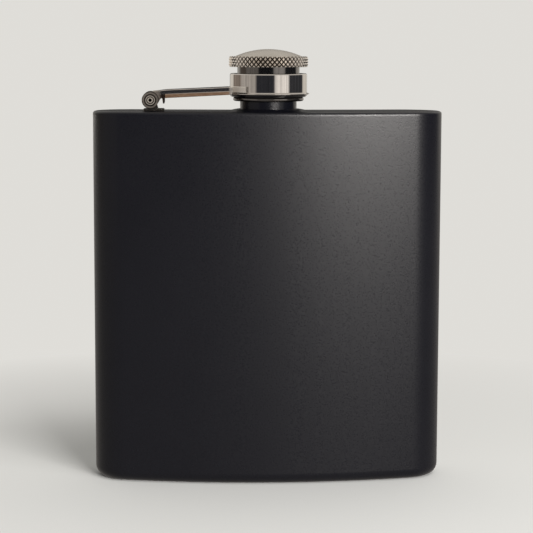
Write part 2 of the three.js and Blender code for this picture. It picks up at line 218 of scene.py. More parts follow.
def lathe(outline, steps=128, ridge=None):
    """A closed (radius, z) outline turned about the neck's axis, with ridge(angle, radius, z) added to it."""
    angles = np.arange(steps) * 2 * math.pi / steps
    points = []
    for r, z in outline:
        for a in angles:
            reach = r + ridge(a, r, z) if ridge else r
            points.append((reach * math.cos(a), reach * math.sin(a), z))
    return in_closure_frame(points), ring_faces(len(outline), steps)


def lathe_on_pin(outline, steps=48):
    """A closed (radius, y) outline turned about the hinge's axis."""
    angles = np.arange(steps) * 2 * math.pi / steps
    points = [
        (PIVOT_X + r * math.cos(a), y, PIVOT_Z + r * math.sin(a)) for r, y in outline for a in angles
    ]
    return in_closure_frame(points), ring_faces(len(outline), steps)


def smooth_step(t):
    t = np.clip(t, 0.0, 1.0)
    return t * t * (3 - 2 * t)


def thread_shape(angle, z, start, turns, flank=0.36, crest=0.28):
    """1 on the crest of a right-handed thread, 0 between its turns. Its ends fade over a fifth of a turn."""
    nearest = 0.0
    for turn in range(int(turns) + 2):
        along = angle / (2 * math.pi) + turn
        if along > turns:
            break
        offset = abs(z - (start + THREAD_PITCH * along))
        run = min(1.0, 5 * along, 5 * (turns - along))
        nearest = max(nearest, run * float(smooth_step(1 - (offset - crest) / flank)))
    return nearest


# ---- material tools --------------------------------------


class Nodes:
    """The node tree of a world or a material, with short ways to add and join nodes."""

    def __init__(self, owner, coordinates):
        owner.use_nodes = True
        self.tree = owner.node_tree
        self.place = self.add("ShaderNodeTexCoord").outputs[coordinates]

    def add(self, kind, **values):
        node = self.tree.nodes.new(kind)
        for key, value in values.items():
            setattr(node, key, value)
        return node

    def join(self, output, socket):
        self.tree.links.new(output, socket)

    def noise(self, scale, detail=3.0, roughness=0.5, stretch=None):
        """Noise with scale in waves per metre, stretched along the axes if asked."""
        node = self.add("ShaderNodeTexNoise")
        node.inputs["Scale"].default_value = scale
        node.inputs["Detail"].default_value = detail
        node.inputs["Roughness"].default_value = roughness
        source = self.place
        if stretch:
            mapping = self.add("ShaderNodeMapping")
            mapping.inputs["Scale"].default_value = stretch
            self.join(source, mapping.inputs["Vector"])
            source = mapping.outputs["Vector"]
        self.join(source, node.inputs["Vector"])
        return node.outputs["Fac"]

    def spread(self, value, low, high, start=0.3, end=0.7, kind="LINEAR"):
        """Maps start..end of value to low..high."""
        node = self.add("ShaderNodeMapRange", interpolation_type=kind)
        for key, number in (("From Min", start), ("From Max", end), ("To Min", low), ("To Max", high)):
            node.inputs[key].default_value = number
        self.join(value, node.inputs["Value"])
        return node.outputs["Result"]

    def mix(self, factor, dark, light):
        node = self.add("ShaderNodeMix", data_type="RGBA")
        self.join(factor, node.inputs["Factor"])
        for colour, socket in ((dark, node.inputs["A"]), (light, node.inputs["B"])):
            if hasattr(colour, "links"):
                self.join(colour, socket)
            else:
                socket.default_value = (*colour, 1)
        return node.outputs["Result"]

    def along(self, axis, origin):
        """Distance in metres along axis from origin, which is given in millimetres."""
        shift = self.add("ShaderNodeVectorMath", operation="SUBTRACT")
        self.join(self.place, shift.inputs[0])
        shift.inputs[1].default_value = [v * MM for v in origin]
        dot = self.add("ShaderNodeVectorMath", operation="DOT_PRODUCT")
        self.join(shift.outputs["Vector"], dot.inputs[0])
        dot.inputs[1].default_value = axis
        return dot.outputs["Value"]

    def off_axis(self, centre, axis):
        """Distance in metres from a line along Z or Y, through centre in millimetres."""
        place = (*centre, 0) if axis == "Z" else (centre[0], 0, centre[1])
        keep = (1, 1, 0) if axis == "Z" else (1, 0, 1)
        shift = self.add("ShaderNodeVectorMath", operation="SUBTRACT")
        self.join(self.place, shift.inputs[0])
        shift.inputs[1].default_value = [v * MM for v in place]
        flat = self.add("ShaderNodeVectorMath", operation="MULTIPLY")
        self.join(shift.outputs["Vector"], flat.inputs[0])
        flat.inputs[1].default_value = keep
        length = self.add("ShaderNodeVectorMath", operation="LENGTH")
        self.join(flat.outputs["Vector"], length.inputs[0])
        return length.outputs["Value"]

    def ramp(self, value, stops):
        """Colour by value, through (place from 0 to 1, colour) stops."""
        node = self.add("ShaderNodeValToRGB")
        elements = node.color_ramp.elements
        for element, (place, colour) in zip(elements, (stops[0], stops[-1])):
            element.position = place
            element.color = (*colour, 1)
        for place, colour in stops[1:-1]:
            elements.new(place).color = (*colour, 1)
        self.join(value, node.inputs["Fac"])
        return node.outputs["Color"]

    def painted_ring_shade(self):
        """Painted shade: dark in the rivet's bore and in rings round its lips, the washers and the ears, else
        white.
        """
        reach = 2.5  # the ramp runs from the hinge's axis to this radius
        # Each ring's radius, where about it the tone falls, is low, rises and is 1 again, and the low tone.
        rings = [
            (PIN_HEAD_RADIUS, (-0.16, -0.08, 0.08, 0.16), 0.03),
            (WASHER_RADIUS, (-0.28, -0.18, 0.08, 0.16), 0.02),
            (EAR_RADIUS, (-0.26, -0.12, 0.02, 0.12), 0.2),
        ]
        tones = [(0.0, 0.0), (PIN_BORE + 0.04, 0.0), (PIN_BORE + 0.12, 1.0)]
        for ring, steps, low in rings:
            tones += [(ring + step, tone) for step, tone in zip(steps, (1.0, low, low, 1.0))]
        tones.append((reach, 1.0))
        radius = self.spread(self.off_axis((PIVOT.x, PIVOT.z), "Y"), 0, 1, 0, reach * MM)
        return self.ramp(radius, [(place / reach, (tone, tone, tone)) for place, tone in tones])

    def times(self, first, second):
        node = self.add("ShaderNodeMath", operation="MULTIPLY")
        self.join(first, node.inputs[0])
        self.join(second, node.inputs[1])
        return node.outputs["Value"]

    def bump(self, height, distance, strength=1.0, below=None):
        node = self.add("ShaderNodeBump")
        node.inputs["Distance"].default_value = distance
        node.inputs["Strength"].default_value = strength
        self.join(height, node.inputs["Height"])
        if below:
            self.join(below, node.inputs["Normal"])
        return node.outputs["Normal"]


class Material(Nodes):
    """A new material's nodes, round its Principled shader."""

    def __init__(self, name):
        self.material = bpy.data.materials.new(name)
        super().__init__(self.material, "Object")
        self.shader = self.tree.nodes["Principled BSDF"]

    def set(self, **values):
        for key, value in values.items():
            self.shader.inputs[key.replace("_", " ")].default_value = value


def powder_coat(name, smoothest, roughest, grain_depth):
    """Matt black powder coat: a fine grain over a faint orange peel."""
    n = Material(name)
    grain = n.noise(2900, detail=1.0)
    peel = n.noise(900, detail=2.0)
    patch = n.noise(60, detail=3.0)
    colour = n.mix(n.spread(patch, 0, 1), (0.0027, 0.0029, 0.0050), (0.0034, 0.0036, 0.0058))
    n.join(colour, n.shader.inputs["Base Color"])
    n.set(Specular_IOR_Level=0.27)
    n.join(n.spread(grain, smoothest, roughest), n.shader.inputs["Roughness"])
    rough = n.bump(peel, 6 * MICRON, 0.5)
    n.join(n.bump(grain, grain_depth, 0.8, rough), n.shader.inputs["Normal"])
    return n.material


def steel(name, light, dark, rough, grain_scale, grain_depth, stretch=None):
    """Stainless steel, from mirror polish to a blasted satin, with fine marks in its surface."""
    n = Material(name)
    n.set(Metallic=1.0)
    stain = n.noise(220, detail=4.0, roughness=0.6)
    n.join(n.mix(n.spread(stain, 0, 1), dark, light), n.shader.inputs["Base Color"])
    marks = n.noise(grain_scale, detail=3.0, roughness=0.6, stretch=stretch)
    n.join(n.spread(marks, rough * 0.8, rough * 1.25), n.shader.inputs["Roughness"])
    n.join(n.bump(marks, grain_depth, 0.6), n.shader.inputs["Normal"])
    return n.material


# The tone of the painted shade in the hinge's bore and in the rings round its parts.
PAINTED_SHADE = (0.02, 0.016, 0.014)


def knurled_steel():
    """As the other steel, with painted shade in the grooves of the knurl."""
    n = Material("knurled_steel")
    n.set(Metallic=1.0)
    marks = n.noise(2200, detail=3.0)
    depth = n.off_axis((NECK_AXIS.x, NECK_AXIS.y), "Z")
    darkest, clear = 0.45, 0.21  # depths below the rim's surface
    # Painted shade, full below the darkest depth and gone above the clear one.
    groove_shade = n.spread(depth, 1, 0, (HEAD_RADIUS - darkest) * MM, (HEAD_RADIUS - clear) * MM)
    # The rim's flat top is as deep as a groove, and gets no painted shade.
    rise = n.along((0, 0, 1), (0, 0, BODY_HEIGHT + HEAD_TOP))
    groove_shade = n.times(groove_shade, n.spread(rise, 1, 0, -0.2 * MM, -0.05 * MM))
    metal = n.mix(n.spread(marks, 0, 1), (0.86, 0.79, 0.71), (1.0, 0.94, 0.87))
    n.join(n.mix(groove_shade, metal, (0.035, 0.028, 0.024)), n.shader.inputs["Base Color"])
    n.join(n.spread(marks, 0.05, 0.1), n.shader.inputs["Roughness"])
    n.join(n.bump(marks, 2 * MICRON, 0.5), n.shader.inputs["Normal"])
    return n.material


def arm_steel():
    """The arm's steel: a polished strap that is brown low on its sides, duller ears, and wings lighter as a
    painted highlight.
    """
    n = Material("arm_steel")
    n.set(Metallic=1.0)
    marks = n.noise(1800, detail=3.0, stretch=(1, 5, 5))
    stain = n.noise(500, detail=4.0, stretch=(1, 3, 3))
    c, s = math.cos(ARM_TILT), math.sin(ARM_TILT)
    height = n.along((-s, 0, c), (PIVOT.x, PIVOT.y, PIVOT.z))
    out = n.along((c, 0, s), (PIVOT.x, PIVOT.y, PIVOT.z))
    tint_full, tint_gone = 1.25, 1.45  # heights above the pivot
    ears_end, strap_start = 1.9, 3.0  # and distances along the arm from it
    strap_end, tint_end = 20.3, 20.9
    wings_start, wings_full = 20.6, 21.2
    low = n.spread(height, 1, 0, tint_full * MM, tint_gone * MM)
    far = n.spread(out, 0, 1, ears_end * MM, strap_start * MM)
    near = n.spread(out, 1, 0, strap_end * MM, tint_end * MM)
    strap = n.times(far, near)
    tinted = n.times(low, strap)
    steel_tone = n.mix(n.spread(stain, 0, 1), (0.62, 0.58, 0.54), (0.76, 0.71, 0.66))
    brown = n.mix(n.spread(stain, 0, 1), (0.36, 0.22, 0.14), (0.60, 0.41, 0.29))
    # Painted highlight: the wings' steel is lighter than the strap's.
    wing_highlight = n.spread(out, 0, 1, wings_start * MM, wings_full * MM)
    ear_tone = n.mix(n.spread(stain, 0, 1), (0.32, 0.28, 0.25), (0.52, 0.47, 0.42))
    metal = n.mix(far, ear_tone, n.mix(tinted, steel_tone, brown))
    # Painted shade in rings round the rivet, the washers and the ears.
    body_tone = n.mix(n.painted_ring_shade(), PAINTED_SHADE, metal)
    n.join(n.mix(wing_highlight, body_tone, (0.88, 0.84, 0.78)), n.shader.inputs["Base Color"])
    gloss = n.add("ShaderNodeMix")
    n.join(strap, gloss.inputs["Factor"])
    gloss.inputs["A"].default_value = 0.4
    n.join(n.spread(marks, 0.05, 0.09), gloss.inputs["B"])
    n.join(gloss.outputs["Result"], n.shader.inputs["Roughness"])
    n.join(n.bump(marks, MICRON, 0.5), n.shader.inputs["Normal"])
    return n.material


def hinge_steel(name, tone):
    """Steel with painted shade in the rivet's bore and in dark rings round the hinge's parts. Tone is 1 for
    bright steel, and less for darker steel.
    """
    n = Material(name)
    n.set(Metallic=1.0)
    marks = n.noise(2600, detail=4.0)
    rings = n.painted_ring_shade()
    light = tuple(tone * v for v in (0.86, 0.80, 0.72))
    shade = tuple(tone * v for v in (0.66, 0.60, 0.54))
    metal = n.mix(n.spread(marks, 0, 1), shade, light)
    # Painted shade in the bore and in the rings round the rivet, the washers and the ears.
    n.join(n.mix(rings, PAINTED_SHADE, metal), n.shader.inputs["Base Color"])
    n.join(n.spread(marks, 0.42, 0.55), n.shader.inputs["Roughness"])
    n.join(n.bump(marks, 2 * MICRON, 0.5), n.shader.inputs["Normal"])
    return n.material


def silicone():
    n = Material("silicone")
    n.set(Roughness=0.55, Subsurface_Weight=0.15, Subsurface_Scale=0.002)
    dust = n.noise(700, detail=4.0)
    n.join(n.mix(n.spread(dust, 0, 1), (0.62, 0.60, 0.54), (0.74, 0.72, 0.66)), n.shader.inputs["Base Color"])
    n.join(n.bump(dust, 20 * MICRON, 0.4), n.shader.inputs["Normal"])
    return n.material


BLACK = powder_coat("powder_coat", 0.26, 0.34, 13 * MICRON)
NECK_BLACK = powder_coat("neck_coat", 0.16, 0.22, 4 * MICRON)
MIRROR = steel(
    "polished_steel", (0.70, 0.665, 0.63), (0.63, 0.60, 0.565), 0.05, 1500, 0.3 * MICRON, (1, 1, 3)
)
SATIN = steel("satin_steel", (0.58, 0.54, 0.49), (0.52, 0.48, 0.43), 0.36, 6000, 20 * MICRON)
KNURL = knurled_steel()
STRAP = arm_steel()
RIVET = hinge_steel("rivet_steel", 1.0)
BRACKET = hinge_steel("bracket_steel", 0.13)
# The sleeve's steel is painted far darker than the other steel, as painted shade and painted dark
# reflections.
SHADED_SLEEVE = steel("sleeve_steel_shaded", (0.19, 0.18, 0.17), (0.15, 0.14, 0.135), 0.09, 1500, 0.3 * MICRON, (1, 1, 3))
SILICONE = silicone()

# ---- the can ---------------------------------------------

END_X = BODY_WIDTH / 2 - END_RADIUS
END_DEPTH = FRONT_RADIUS - math.sqrt((FRONT_RADIUS - END_RADIUS) ** 2 - END_X**2)
BACK_GAP = BODY_THICKNESS - END_DEPTH
BACK_RADIUS = (END_X**2 + BACK_GAP**2 - END_RADIUS**2) / (2 * (END_RADIUS - BACK_GAP))
FRONT_Y = -(END_DEPTH + END_RADIUS) / 2
FACE_STEPS = 72
END_STEPS = 40


def body_outline(inset):
    """The body's plan, anticlockwise, moved inwards by inset."""
    front_turn = math.asin(END_X / (FRONT_RADIUS - END_RADIUS))
    back_turn = math.asin(END_X / (BACK_RADIUS + END_RADIUS))
    down = -math.pi / 2
    end_y = FRONT_Y + END_DEPTH
    arcs = [
        (0, FRONT_Y + FRONT_RADIUS, FRONT_RADIUS - inset, down - front_turn, down + front_turn, FACE_STEPS),
        (END_X, end_y, END_RADIUS - inset, down + front_turn, back_turn - down, END_STEPS),
        (
            0,
            FRONT_Y + BODY_THICKNESS + BACK_RADIUS,
            BACK_RADIUS + inset,
            down + back_turn,
            down - back_turn,
            FACE_STEPS,
        ),
        (-END_X, end_y, END_RADIUS - inset, -down - back_turn, -3 * down - front_turn, END_STEPS),
    ]
    points = []
    for x, y, radius, start, end, steps in arcs:
        for k in range(steps):
            a = start + (end - start) * k / steps
            points.append((x + radius * math.cos(a), y + radius * math.sin(a)))
    return np.array(points)


def level(inset, z):
    outline = body_outline(inset)
    return np.column_stack([outline, np.full(len(outline), z)])


def stack(rings):
    """A closed skin over rings that run out, round and back to the first."""
    rings = np.array(rings)
    return in_body_frame(rings.reshape(-1, 3)), ring_faces(len(rings), len(rings[0]))


def body_sleeve():
    bottom = BOTTOM_EDGE_RADIUS
    top = BODY_HEIGHT - TOP_EDGE_RADIUS
    heights = np.linspace(bottom, top, 9)
    outside = [level(0, z) for z in heights]
    inside = [level(SHEET, z) for z in heights[::-1]]
    return piece("body_sleeve_shell", [stack(outside + inside)], BLACK, "flask", "body_sleeve")


def top_plate():
    """A round edge, a flat and a soft rise round the hole for the neck."""
    hole = NECK_RADIUS + FIT
    drop = 0.7  # the edge falls less than it runs in, so it is flatter than round
    rise = 0.65
    rise_reach = 4.0  # how far from the hole the rise begins
    rise_clear = 1.8  # and how far from the edge it is still held down
    edge_steps = 10
    blend_steps = 34
    crowding = 2.6  # above 1, the rings stand closer together near the hole

    def rounding(wall, flat, radius, height):
        for k in range(edge_steps + 1):
            a = math.pi / 2 * k / edge_steps
            yield level(wall + radius * (1 - math.cos(a)), flat - height * (1 - math.sin(a)))

    def towards_hole(inset, z, radius):
        edge = body_outline(inset)
        turn = np.arctan2(edge[:, 1] - NECK_AXIS.y, edge[:, 0])
        circle = np.column_stack([radius * np.cos(turn), NECK_AXIS.y + radius * np.sin(turn)])
        for k in range(1, blend_steps + 1):
            t = 1 - (1 - k / blend_steps) ** crowding
            points = edge * (1 - t) + circle * t
            away = np.hypot(points[:, 0], points[:, 1] - NECK_AXIS.y)
            u = np.clip((away - radius) / rise_reach, 0, 1)
            from_edge = smooth_step(np.hypot(*(points - edge).T) / rise_clear)
            yield np.column_stack([points, z + rise * (1 - u**2) ** 2 * from_edge])

    below = BODY_HEIGHT - SHEET
    outside = [level(0, BODY_HEIGHT - TOP_EDGE_RADIUS)]
    outside += rounding(0, BODY_HEIGHT, TOP_EDGE_RADIUS, drop)
    outside += list(towards_hole(TOP_EDGE_RADIUS, BODY_HEIGHT, hole))
    inner_radius = TOP_EDGE_RADIUS - SHEET
    inside = list(rounding(SHEET, below, inner_radius, inner_radius))
    inside += list(towards_hole(TOP_EDGE_RADIUS, below, hole))
    parts = [stack(outside + inside[::-1])]
    return piece("top_plate_pressing", parts, BLACK, "flask", "top_plate")


def bottom_plate():
    """A round edge, a flat ring to stand on and a panel pressed up inside it."""
    panel = BOTTOM_EDGE_RADIUS + BASE_RIM
    steps = 12
    press_steps = 6
    edge_strip = 0.02  # a narrow upright strip keeps the shading of the round edge true

    def rounding(wall, flat, radius):
        for k in range(steps + 1):
            a = math.pi / 2 * k / steps
            yield wall + radius * (1 - math.cos(a)), flat + radius * (1 - math.sin(a))

    def press(base):
        for k in range(press_steps + 1):
            t = k / press_steps
            yield panel + BASE_RECESS * t, base + BASE_RECESS * float(smooth_step(t))

    under = [(0, BOTTOM_EDGE_RADIUS), (0, BOTTOM_EDGE_RADIUS - edge_strip)]
    under += list(rounding(0, 0, BOTTOM_EDGE_RADIUS))[1:] + list(press(0))
    over = list(rounding(SHEET, SHEET, BOTTOM_EDGE_RADIUS - SHEET)) + list(press(SHEET))
    rings = np.array([level(*where) for where in under[::-1] + over])
    parts = [(in_body_frame(rings.reshape(-1, 3)), ring_faces(len(rings), len(rings[0]), closed=False))]
    return piece("bottom_plate_pressing", parts, BLACK, "flask", "bottom_plate")


# ---- neck and cap ----------------------------------------


def straight(start, end, steps):
    """Points from start to end, without the end."""
    return [np.array(start) + (np.array(end) - start) * k / steps for k in range(steps)]


def neck():
    """A plain foot over a weld flange inside the can, and a narrower threaded spout above it."""
    root = NECK_RADIUS - 1.05
    flange_radius = NECK_RADIUS + 1.4
    flange_bottom, flange_top = -1.4, -0.8
    foot_top = 3.1
    taper_top = 3.6
    wall_bottom, wall_top = 3.7, 9.3
    taper = rounded(
        [
            (NECK_RADIUS, flange_top),
            (NECK_RADIUS, foot_top, 0.25),
            (root, taper_top, 0.15),
            (root, wall_bottom),
        ]
    )
    mouth = rounded(
        [
            (root, wall_top - 0.1),
            (root, NECK_HEIGHT, 0.25),
            (NECK_BORE, NECK_HEIGHT, 0.25),
            (NECK_BORE, wall_top - 0.3),
        ]
    )
    outline = [
        (NECK_BORE, flange_bottom),
        (flange_radius, flange_bottom),
        (flange_radius, flange_top),
        (NECK_RADIUS, flange_top),
        *straight((NECK_RADIUS, 0.0), (NECK_RADIUS, foot_top - 0.4), 4),
        *taper[1:-1],
        *straight((root, wall_bottom), (root, wall_top), 64),
        *mouth[1:-1],
    ]
    thread_height = 0.45
    thread_start = 4.5
    thread_turns = 2.25

    def ridge(angle, r, z):
        on_wall = r >= root - 0.01 and z > taper_top
        return thread_height * thread_shape(angle, z, thread_start, thread_turns) if on_wall else 0.0

    return piece("neck_spout", [lathe(outline, ridge=ridge)], NECK_BLACK, "flask", "neck")


def cap_sleeve():
    """A cup, open below, with the thread on its inside and a thick lip round its mouth."""
    top = SLEEVE_TOP
    inner_top = top - SHEET
    lip = LIP_BOTTOM + 1
    lip_edge = 0.42
    outer = rounded(
        [
            (SLEEVE_BORE + 0.1, LIP_BOTTOM, 0.08),
            (LIP_RADIUS, LIP_BOTTOM, lip_edge),
            (LIP_RADIUS, lip, lip_edge),
            (SLEEVE_RADIUS, lip, 0.1),
            (SLEEVE_RADIUS, top, 0.05),
            (0, top),
            (0, inner_top),
            (SLEEVE_BORE, inner_top, 0.2),
        ]
    )
    wall = straight((SLEEVE_BORE, inner_top - 0.4), (SLEEVE_BORE, LIP_BOTTOM + 0.3), 72)
    thread_height = 0.28
    thread_start = 4.6
    thread_turns = 2.0

    def ridge(angle, r, z):
        on_wall = abs(r - SLEEVE_BORE) < 0.01
        return -thread_height * thread_shape(angle, z, thread_start, thread_turns) if on_wall else 0.0

    parts = [lathe([*outer, *wall], ridge=ridge)]
    return piece("cap_sleeve_turning", parts, SHADED_SLEEVE, "cap", "cap_sleeve")


def cap_head():
    """The rim, with a diamond knurl cut into it: blunt pyramids between two crossing sets of grooves."""
    around = 52
    rows_of_diamonds = 2
    cuts = 4  # grid steps from a diamond's edge to its middle
    depth = 0.5
    chamfer = 0.3
    blunt = 0.8  # the pyramids are cut off at this share of their height
    height = HEAD_TOP - HEAD_BOTTOM
    columns = around * 2 * cuts
    rows = rows_of_diamonds * 2 * cuts

    def knurled(column, row):
        across = column / (2 * cuts)
        up = row / (2 * cuts)
        first = 2 * abs((across + up) % 1 - 0.5)
        second = 2 * abs((across - up) % 1 - 0.5)
        return min(1 - max(first, second), blunt) / blunt

    def radius(column, row):
        z = height * row / rows
        to_edge = min(z, height - z)
        shoulder = max(0.0, chamfer - to_edge)
        return min(HEAD_RADIUS - depth * (1 - knurled(column, row)), HEAD_RADIUS - shoulder)

    points = []
    for row in range(rows + 1):
        for column in range(columns):
            a = 2 * math.pi * column / columns
            r = radius(column, row)
            points.append((r * math.cos(a), r * math.sin(a), HEAD_BOTTOM + height * row / rows))
    faces = []
    for row in range(rows):
        for column in range(columns):
            here = row * columns + column
            right = row * columns + (column + 1) % columns
            above, corner = here + columns, right + columns
            middle = knurled(column + 0.5, row + 0.5)
            rising = abs((knurled(column, row) + knurled(column + 1, row + 1)) / 2 - middle)
            falling = abs((knurled(column + 1, row) + knurled(column, row + 1)) / 2 - middle)
            if rising <= falling:
                faces += [(here, right, corner), (here, corner, above)]
            else:
                faces += [(here, right, above), (right, corner, above)]

    # The faces above and below close the ring: a seat for the dome above, and one for the sleeve below.
    rim = HEAD_RADIUS - depth - 0.1
    dome_edge = DOME_RADIUS + FIT
    sleeve_edge = SLEEVE_RADIUS + FIT
    seat = DOME_SEAT - FIT
    over = [(rim, HEAD_TOP), (dome_edge, HEAD_TOP), (dome_edge, seat), (0, seat)]
    recess = SLEEVE_TOP + FIT
    under = [(rim, HEAD_BOTTOM), (sleeve_edge, HEAD_BOTTOM), (sleeve_edge, recess), (0, recess)]

    def close(first_ring, outline):
        start = len(points)
        for r, z in outline:
            for column in range(columns):
                a = 2 * math.pi * column / columns
                points.append((r * math.cos(a), r * math.sin(a), z))
        rings = [first_ring] + [start + k * columns for k in range(len(outline))]
        for low, high in zip(rings, rings[1:]):
            for column in range(columns):
                after = (column + 1) % columns
                faces.append((low + column, low + after, high + after, high + column))

    close(rows * columns, over)
    close(0, under)
    parts = [(in_closure_frame(points), faces)]
    return piece("cap_knurled_rim", parts, KNURL, "cap", "cap_head", sharp=20)


def cap_dome():
    """A low sphere on a short rim, seated in the head."""
    edge = HEAD_TOP + 0.05
    steps = 24
    rise = DOME_TOP - edge
    sphere = (DOME_RADIUS**2 + rise**2) / (2 * rise)
    span = math.asin(DOME_RADIUS / sphere)
    crown = []
    for k in range(steps + 1):
        a = span * (1 - k / steps)
        crown.append((sphere * math.sin(a), DOME_TOP - sphere * (1 - math.cos(a))))
    crown[-1] = (0, DOME_TOP)
    outline = [(0, DOME_SEAT), (DOME_RADIUS, DOME_SEAT), *crown]
    return piece("cap_dome_cover", [lathe(outline)], SATIN, "cap", "cap_dome", sharp=50)


def cap_seal():
    corner = 0.25
    outline = rounded(
        [(0, SEAL_BOTTOM), (SEAL_RADIUS, SEAL_BOTTOM, corner), (SEAL_RADIUS, SEAL_TOP, corner), (0, SEAL_TOP)]
    )
    return piece("cap_seal_disc", [lathe(outline)], SILICONE, "seal", "cap_seal")


def collar():
    """A drawn ring: its foot flares to a thin rim, and its top turns in round the sleeve."""
    foot = COLLAR_BOTTOM
    outline = rounded(
        [
            (COLLAR_BORE, foot, 0.08),
            (COLLAR_BORE + 0.25, foot, 0.08),
            (COLLAR_RADIUS + 0.25, foot + 0.62, 0.15),
            (COLLAR_FLARE, foot + 0.68, 0.08),
            (COLLAR_FLARE, foot + 0.9, 0.08),
            (COLLAR_RADIUS, foot + 1.02, 0.25),
            (COLLAR_RADIUS, COLLAR_TOP, 0.42),
            (SLEEVE_RADIUS + 0.18, COLLAR_TOP, 0.12),
            (SLEEVE_RADIUS + 0.18, COLLAR_TOP - 0.5, 0.08),
            (COLLAR_BORE, COLLAR_TOP - 0.5, 0.2),
        ],
        steps=6,
    )
    return piece("collar_ring", [lathe(outline, 160)], MIRROR, "arm", "collar", sharp=40)


# ---- arm and hinge ---------------------------------------


def plate(outline, low, high, axis, bevel=0.06):
    """A plate of a closed outline, with small bevels round both faces, from low to high along axis y or z."""
    outline = np.asarray(outline, float)
    count = len(outline)
    ahead = np.roll(outline, -1, axis=0) - outline
    behind = outline - np.roll(outline, 1, axis=0)
    normals = np.column_stack([ahead[:, 1] + behind[:, 1], -(ahead[:, 0] + behind[:, 0])])
    normals /= np.maximum(np.linalg.norm(normals, axis=1, keepdims=True), 1e-9)
    area = np.sum(outline[:, 0] * np.roll(outline[:, 1], -1) - np.roll(outline[:, 0], -1) * outline[:, 1])
    inward = outline - normals * bevel * np.sign(area)
    rings = [(inward, low), (outline, low + bevel), (outline, high - bevel), (inward, high)]
    points = []
    for ring, depth in rings:
        for u, v in ring:
            points.append((u, depth, v) if axis == "y" else (u, v, depth))
    return in_closure_frame(points), ring_faces(len(rings), count, closed=False)


def on_axis(part, steps):
    """Closes a lathe's first and last rings, which lie on its axis, into two fans."""
    points, faces = part
    last_ring = len(points) - steps
    inner = points[steps:last_ring]
    first, last = len(inner), len(inner) + 1

    def renumbered(i):
        if i < steps:
            return first
        return last if i >= last_ring else i - steps

    made = []
    for face in faces:
        if not all(i < steps or i >= last_ring for i in face):
            made.append(tuple(dict.fromkeys(renumbered(i) for i in face)))
    return [*inner, points[0], points[-1]], made


def rod(radius, low, high, steps=160):
    """A solid cylinder on the neck's axis."""
    return on_axis(lathe([(0, low), (radius, low), (radius, high), (0, high)], steps), steps)


def pin_rod(radius, reach=8, steps=40):
    """A solid cylinder on the hinge's axis."""
    return on_axis(lathe_on_pin([(0, -reach), (radius, -reach), (radius, reach), (0, reach)], steps), steps)


def solid(name, part):
    """A closed mesh object for joining and cutting."""
    points, faces = part
    bm = bmesh.new()
    made = [bm.verts.new(p) for p in points]
    for face in faces:
        bm.faces.new([made[i] for i in face])
    bmesh.ops.recalc_face_normals(bm, faces=bm.faces)
    mesh = bpy.data.meshes.new(name)
    bm.to_mesh(mesh)
    bm.free()
    obj = bpy.data.objects.new(name, mesh)
    bpy.context.scene.collection.objects.link(obj)
    return obj


def combine(name, first, operations):
    """Joins solids to the first one, or cuts them out of it, and returns the result under that name."""
    target = solid(name, first)
    for k, (operation, part) in enumerate(operations):
        tool = solid(f"{name}_tool_{k}", part)
        modifier = target.modifiers.new("cut", "BOOLEAN")
        modifier.operation = operation
        modifier.solver = "EXACT"
        modifier.object = tool
        bpy.context.view_layer.update()
        made = bpy.data.meshes.new_from_object(target.evaluated_get(bpy.context.evaluated_depsgraph_get()))
        target.modifiers.clear()
        target.data = made
        bpy.data.objects.remove(tool)
    target.data.name = name
    return target


def arc_points(radius, start, end, steps):
    """Points round a circle about the pivot, from one angle to another in degrees."""
    angles = np.radians(np.linspace(start, end, steps))
    return [(radius * math.cos(a), radius * math.sin(a)) for a in angles]


def along_arm(points):
    """[along the arm, above the pivot line] to [x, z] in the closure's frame."""
    c, s = math.cos(ARM_TILT), math.sin(ARM_TILT)
    return [(PIVOT_X + u * c - v * s, PIVOT_Z + u * s + v * c) for u, v in points]


